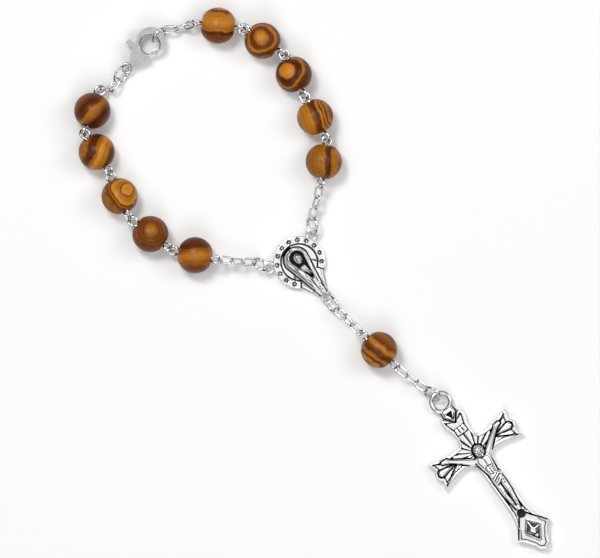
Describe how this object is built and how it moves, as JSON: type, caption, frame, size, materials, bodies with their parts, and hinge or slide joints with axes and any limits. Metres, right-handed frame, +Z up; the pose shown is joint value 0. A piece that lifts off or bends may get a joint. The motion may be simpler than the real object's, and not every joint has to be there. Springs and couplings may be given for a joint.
{
  "type": "rosary",
  "caption": "Small rosary laid flat: wooden beads on wire eye pins and chain links, a round medal, a lobster clasp and a cast crucifix.",
  "frame": {"origin": "middle of the lay-out's bounding box, on the table the rosary lies on", "axes": "+Z up from the table, +Y along the longest way of the lay-out towards the clasp side, +X to the right seen from above"},
  "size_m": [0.1046, 0.1192, 0.008],
  "materials": {
    "bead_wood": "turned hardwood, semi-gloss varnish, growth rings",
    "pin_steel": "bright plated wire",
    "link_steel": "bright plated wire",
    "ring_steel": "bright plated wire",
    "medal_metal": "antiqued silver-coloured casting, dark recesses",
    "clasp_metal": "satin plated casting",
    "rivet_steel": "satin steel",
    "spring_steel": "bright spring leaf",
    "crucifix_metal": "antiqued silver-coloured casting, dark recesses"
  },
  "bodies": {
    "medal": {"medal": "medal_metal"},
    "left_shoulder_ring": {"left_shoulder_ring": "ring_steel"},
    "left_link_1": {"left_link_1": "link_steel"},
    "left_link_2": {"left_link_2": "link_steel"},
    "left_link_3": {"left_link_3": "link_steel"},
    "left_pin_1": {"left_pin_1": "pin_steel"},
    "left_bead_1": {"left_bead_1": "bead_wood"},
    "left_pin_2": {"left_pin_2": "pin_steel"},
    "left_bead_2": {"left_bead_2": "bead_wood"},
    "left_pin_3": {"left_pin_3": "pin_steel"},
    "left_bead_3": {"left_bead_3": "bead_wood"},
    "left_pin_4": {"left_pin_4": "pin_steel"},
    "left_bead_4": {"left_bead_4": "bead_wood"},
    "left_pin_5": {"left_pin_5": "pin_steel"},
    "left_bead_5": {"left_bead_5": "bead_wood"},
    "tail_link_1": {"tail_link_1": "link_steel"},
    "tail_link_2": {"tail_link_2": "link_steel"},
    "tail_ring": {"tail_ring": "ring_steel"},
    "right_shoulder_ring": {"right_shoulder_ring": "ring_steel"},
    "right_link_1": {"right_link_1": "link_steel"},
    "right_link_2": {"right_link_2": "link_steel"},
    "right_link_3": {"right_link_3": "link_steel"},
    "right_pin_1": {"right_pin_1": "pin_steel"},
    "right_bead_1": {"right_bead_1": "bead_wood"},
    "right_pin_2": {"right_pin_2": "pin_steel"},
    "right_bead_2": {"right_bead_2": "bead_wood"},
    "right_pin_3": {"right_pin_3": "pin_steel"},
    "right_bead_3": {"right_bead_3": "bead_wood"},
    "right_pin_4": {"right_pin_4": "pin_steel"},
    "right_bead_4": {"right_bead_4": "bead_wood"},
    "right_pin_5": {"right_pin_5": "pin_steel"},
    "right_bead_5": {"right_bead_5": "bead_wood"},
    "end_link_1": {"end_link_1": "link_steel"},
    "end_link_2": {"end_link_2": "link_steel"},
    "end_link_3": {"end_link_3": "link_steel"},
    "closing_ring": {"closing_ring": "ring_steel"},
    "pendant_ring": {"pendant_ring": "ring_steel"},
    "pendant_link_1": {"pendant_link_1": "link_steel"},
    "pendant_link_2": {"pendant_link_2": "link_steel"},
    "pendant_link_3": {"pendant_link_3": "link_steel"},
    "pendant_pin": {"pendant_pin": "pin_steel"},
    "pendant_bead": {"pendant_bead": "bead_wood"},
    "drop_link_1": {"drop_link_1": "link_steel"},
    "drop_link_2": {"drop_link_2": "link_steel"},
    "drop_link_3": {"drop_link_3": "link_steel"},
    "drop_ring": {"drop_ring": "ring_steel"},
    "clasp": {"clasp_body": "clasp_metal", "clasp_rivet": "rivet_steel", "clasp_spring": "spring_steel"},
    "clasp_lever": {"clasp_lever": "clasp_metal"},
    "crucifix": {"crucifix": "crucifix_metal"}
  },
  "joints": [
    {"name": "left_shoulder_ring_turn", "type": "hinge", "parent": "medal", "child": "left_shoulder_ring", "pos_m": [-0.00999, 0.00261, 0.00161], "axis": [-0.4496, 0.8929, 0.023], "range_deg": [-8, 8]},
    {"name": "left_link_1_turn", "type": "hinge", "parent": "left_shoulder_ring", "child": "left_link_1", "pos_m": [-0.01277, 0.00354, 0.00282], "axis": [0.4148, -0.9099, -0.0011], "range_deg": [-8, 8]},
    {"name": "left_link_2_turn", "type": "hinge", "parent": "left_link_1", "child": "left_link_2", "pos_m": [-0.01517, 0.00368, 0.00353], "axis": [-0.3774, 0.926, -0.0124], "range_deg": [-8, 8]},
    {"name": "left_link_3_turn", "type": "hinge", "parent": "left_link_2", "child": "left_link_3", "pos_m": [-0.0177, 0.00384, 0.00408], "axis": [0.3356, -0.9417, 0.0235], "range_deg": [-8, 8]},
    {"name": "left_pin_1_turn", "type": "hinge", "parent": "left_link_3", "child": "left_pin_1", "pos_m": [-0.02021, 0.00411, 0.00456], "axis": [-0.2924, 0.9557, -0.0334], "range_deg": [-8, 8]},
    {"name": "left_bead_1_spin", "type": "hinge", "parent": "left_pin_1", "child": "left_bead_1", "pos_m": [-0.02573, 0.00512, 0.004], "axis": [-0.9691, 0.206, -0.1355], "continuous": true},
    {"name": "left_pin_2_turn", "type": "hinge", "parent": "left_pin_1", "child": "left_pin_2", "pos_m": [-0.03105, 0.00654, 0.00345], "axis": [0.0837, -0.9964, 0.0125], "range_deg": [-8, 8]},
    {"name": "left_bead_2_spin", "type": "hinge", "parent": "left_pin_2", "child": "left_bead_2", "pos_m": [-0.03558, 0.00979, 0.004], "axis": [-0.8057, 0.5854, 0.0905], "continuous": true},
    {"name": "left_pin_3_turn", "type": "hinge", "parent": "left_pin_2", "child": "left_pin_3", "pos_m": [-0.03995, 0.01318, 0.00463], "axis": [0.1296, 0.9906, -0.0447], "range_deg": [-8, 8]},
    {"name": "left_bead_3_spin", "type": "hinge", "parent": "left_pin_3", "child": "left_bead_3", "pos_m": [-0.04236, 0.0181, 0.004], "axis": [-0.4008, 0.9002, -0.17], "continuous": true},
    {"name": "left_pin_4_turn", "type": "hinge", "parent": "left_pin_3", "child": "left_pin_4", "pos_m": [-0.04456, 0.02317, 0.00308], "axis": [-0.3184, -0.9479, 0.0066], "range_deg": [-8, 8]},
    {"name": "left_bead_4_spin", "type": "hinge", "parent": "left_pin_4", "child": "left_bead_4", "pos_m": [-0.0474, 0.02784, 0.004], "axis": [-0.5325, 0.8201, 0.2095], "continuous": true},
    {"name": "left_pin_5_turn", "type": "hinge", "parent": "left_pin_4", "child": "left_pin_5", "pos_m": [-0.04995, 0.03219, 0.00523], "axis": [0.6027, 0.7924, -0.0939], "range_deg": [-8, 8]},
    {"name": "left_bead_5_spin", "type": "hinge", "parent": "left_pin_5", "child": "left_bead_5", "pos_m": [-0.04834, 0.0369, 0.004], "axis": [0.3265, 0.897, -0.2981], "continuous": true},
    {"name": "tail_link_1_turn", "type": "hinge", "parent": "left_pin_5", "child": "tail_link_1", "pos_m": [-0.04622, 0.04143, 0.00265], "axis": [-0.7313, -0.6819, -0.0148], "range_deg": [-8, 8]},
    {"name": "tail_link_2_turn", "type": "hinge", "parent": "tail_link_1", "child": "tail_link_2", "pos_m": [-0.04418, 0.04182, 0.00248], "axis": [0.6741, 0.7381, 0.0293], "range_deg": [-8, 8]},
    {"name": "tail_ring_turn", "type": "hinge", "parent": "tail_link_2", "child": "tail_ring", "pos_m": [-0.04286, 0.04361, 0.00258], "axis": [-0.6886, -0.7247, -0.0261], "range_deg": [-8, 8]},
    {"name": "right_shoulder_ring_turn", "type": "hinge", "parent": "medal", "child": "right_shoulder_ring", "pos_m": [-0.00004, 0.01032, 0.00161], "axis": [-0.6409, 0.7672, 0.0235], "range_deg": [-8, 8]},
    {"name": "right_link_1_turn", "type": "hinge", "parent": "right_shoulder_ring", "child": "right_link_1", "pos_m": [0.00011, 0.01328, 0.00267], "axis": [0.6702, -0.7422, -0.0041], "range_deg": [-8, 8]},
    {"name": "right_link_2_turn", "type": "hinge", "parent": "right_link_1", "child": "right_link_2", "pos_m": [0.00056, 0.0156, 0.00328], "axis": [-0.6973, 0.7167, -0.0079], "range_deg": [-8, 8]},
    {"name": "right_link_3_turn", "type": "hinge", "parent": "right_link_2", "child": "right_link_3", "pos_m": [0.00122, 0.01796, 0.00377], "axis": [0.7272, -0.6862, 0.018], "range_deg": [-8, 8]},
    {"name": "right_pin_1_turn", "type": "hinge", "parent": "right_link_3", "child": "right_pin_1", "pos_m": [0.00171, 0.02027, 0.00422], "axis": [-0.7549, 0.6553, -0.0278], "range_deg": [-8, 8]},
    {"name": "right_bead_1_spin", "type": "hinge", "parent": "right_pin_1", "child": "right_bead_1", "pos_m": [0.00257, 0.02572, 0.004], "axis": [0.1389, 0.988, -0.067], "continuous": true},
    {"name": "right_pin_2_turn", "type": "hinge", "parent": "right_pin_1", "child": "right_pin_2", "pos_m": [0.00311, 0.03088, 0.00377], "axis": [0.8736, -0.4862, 0.0205], "range_deg": [-8, 8]},
    {"name": "right_bead_2_spin", "type": "hinge", "parent": "right_pin_2", "child": "right_bead_2", "pos_m": [0.00069, 0.03552, 0.004], "axis": [-0.4693, 0.8826, 0.0264], "continuous": true},
    {"name": "right_pin_3_turn", "type": "hinge", "parent": "right_pin_2", "child": "right_pin_3", "pos_m": [-0.00175, 0.04017, 0.00413], "axis": [-0.9409, 0.3367, -0.0355], "range_deg": [-8, 8]},
    {"name": "right_bead_3_spin", "type": "hinge", "parent": "right_pin_3", "child": "right_bead_3", "pos_m": [-0.00405, 0.04489, 0.004], "axis": [-0.4382, 0.8985, -0.0263], "continuous": true},
    {"name": "right_pin_4_turn", "type": "hinge", "parent": "right_pin_3", "child": "right_pin_4", "pos_m": [-0.00648, 0.04949, 0.00396], "axis": [0.9953, -0.0887, 0.0378], "range_deg": [-8, 8]},
    {"name": "right_bead_4_spin", "type": "hinge", "parent": "right_pin_4", "child": "right_bead_4", "pos_m": [-0.0109, 0.0523, 0.004], "axis": [-0.848, 0.5299, -0.0091], "continuous": true},
    {"name": "right_pin_5_turn", "type": "hinge", "parent": "right_pin_4", "child": "right_pin_5", "pos_m": [-0.01545, 0.05496, 0.00403], "axis": [-0.987, -0.1496, -0.0583], "range_deg": [-8, 8]},
    {"name": "right_bead_5_spin", "type": "hinge", "parent": "right_pin_5", "child": "right_bead_5", "pos_m": [-0.02069, 0.05564, 0.004], "axis": [-0.9923, 0.1218, -0.0206], "continuous": true},
    {"name": "end_link_1_turn", "type": "hinge", "parent": "right_pin_5", "child": "end_link_1", "pos_m": [-0.02595, 0.05615, 0.00359], "axis": [0.9051, 0.4192, 0.0715], "range_deg": [-8, 8]},
    {"name": "end_link_2_turn", "type": "hinge", "parent": "end_link_1", "child": "end_link_2", "pos_m": [-0.02769, 0.0555, 0.00252], "axis": [-0.8985, -0.4366, 0.0452], "range_deg": [-8, 8]},
    {"name": "end_link_3_turn", "type": "hinge", "parent": "end_link_2", "child": "end_link_3", "pos_m": [-0.0299, 0.05489, 0.00206], "axis": [0.8572, 0.4951, -0.1421], "range_deg": [-8, 8]},
    {"name": "closing_ring_turn", "type": "hinge", "parent": "end_link_3", "child": "closing_ring", "pos_m": [-0.03224, 0.0545, 0.00226], "axis": [-0.7162, -0.6772, 0.1688], "range_deg": [-8, 8]},
    {"name": "pendant_ring_swing", "type": "hinge", "parent": "medal", "child": "pendant_ring", "pos_m": [0.00325, -0.00417, 0.0014], "axis": [0, 0, 1], "range_deg": [-20, 20]},
    {"name": "pendant_link_1_swing", "type": "hinge", "parent": "pendant_ring", "child": "pendant_link_1", "pos_m": [0.00447, -0.00572, 0.00212], "axis": [-0.7877, -0.3984, 0.4698], "range_deg": [-20, 20]},
    {"name": "pendant_link_2_swing", "type": "hinge", "parent": "pendant_link_1", "child": "pendant_link_2", "pos_m": [0.00753, -0.00874, 0.00353], "axis": [-0.675, -0.5166, 0.5268], "range_deg": [-20, 20]},
    {"name": "pendant_link_3_swing", "type": "hinge", "parent": "pendant_link_2", "child": "pendant_link_3", "pos_m": [0.00856, -0.00978, 0.00384], "axis": [0.675, 0.5166, -0.5268], "range_deg": [-20, 20]},
    {"name": "pendant_pin_swing", "type": "hinge", "parent": "pendant_link_3", "child": "pendant_pin", "pos_m": [0.01126, -0.01235, 0.00445], "axis": [0.5413, 0.6347, -0.5515], "range_deg": [-20, 20]},
    {"name": "pendant_bead_spin", "type": "hinge", "parent": "pendant_pin", "child": "pendant_bead", "pos_m": [0.01474, -0.01571, 0.004], "axis": [0.7162, -0.6916, -0.093], "continuous": true},
    {"name": "drop_link_1_swing", "type": "hinge", "parent": "pendant_pin", "child": "drop_link_1", "pos_m": [0.01821, -0.01906, 0.00355], "axis": [-0.5413, -0.6347, 0.5515], "range_deg": [-20, 20]},
    {"name": "drop_link_2_swing", "type": "hinge", "parent": "drop_link_1", "child": "drop_link_2", "pos_m": [0.02135, -0.02155, 0.0031], "axis": [-0.4406, -0.7182, 0.5386], "range_deg": [-20, 20]},
    {"name": "drop_link_3_swing", "type": "hinge", "parent": "drop_link_2", "child": "drop_link_3", "pos_m": [0.02251, -0.02246, 0.00284], "axis": [0.4406, 0.7182, -0.5386], "range_deg": [-20, 20]},
    {"name": "drop_ring_swing", "type": "hinge", "parent": "drop_link_3", "child": "drop_ring", "pos_m": [0.02641, -0.02539, 0.00208], "axis": [0.4556, 0.7066, -0.5414], "range_deg": [-20, 20]},
    {"name": "clasp_turn", "type": "hinge", "parent": "tail_ring", "child": "clasp", "pos_m": [-0.04059, 0.04642, 0.00226], "axis": [0.7128, 0.6971, 0.0768], "range_deg": [-8, 8]},
    {"name": "lever_open", "type": "hinge", "parent": "clasp", "child": "clasp_lever", "pos_m": [-0.03721, 0.04888, 0.0026], "axis": [-0.0516, -0.0506, 0.9974], "range_deg": [0, 28], "stiffness_Nm_per_rad": 0.004, "springref_deg": -9.74, "deforming": ["clasp_spring"]},
    {"name": "crucifix_swing", "type": "hinge", "parent": "drop_ring", "child": "crucifix", "pos_m": [0.02829, -0.02721, 0.0015], "axis": [0, 0, 1], "range_deg": [-20, 20]}
  ]
}
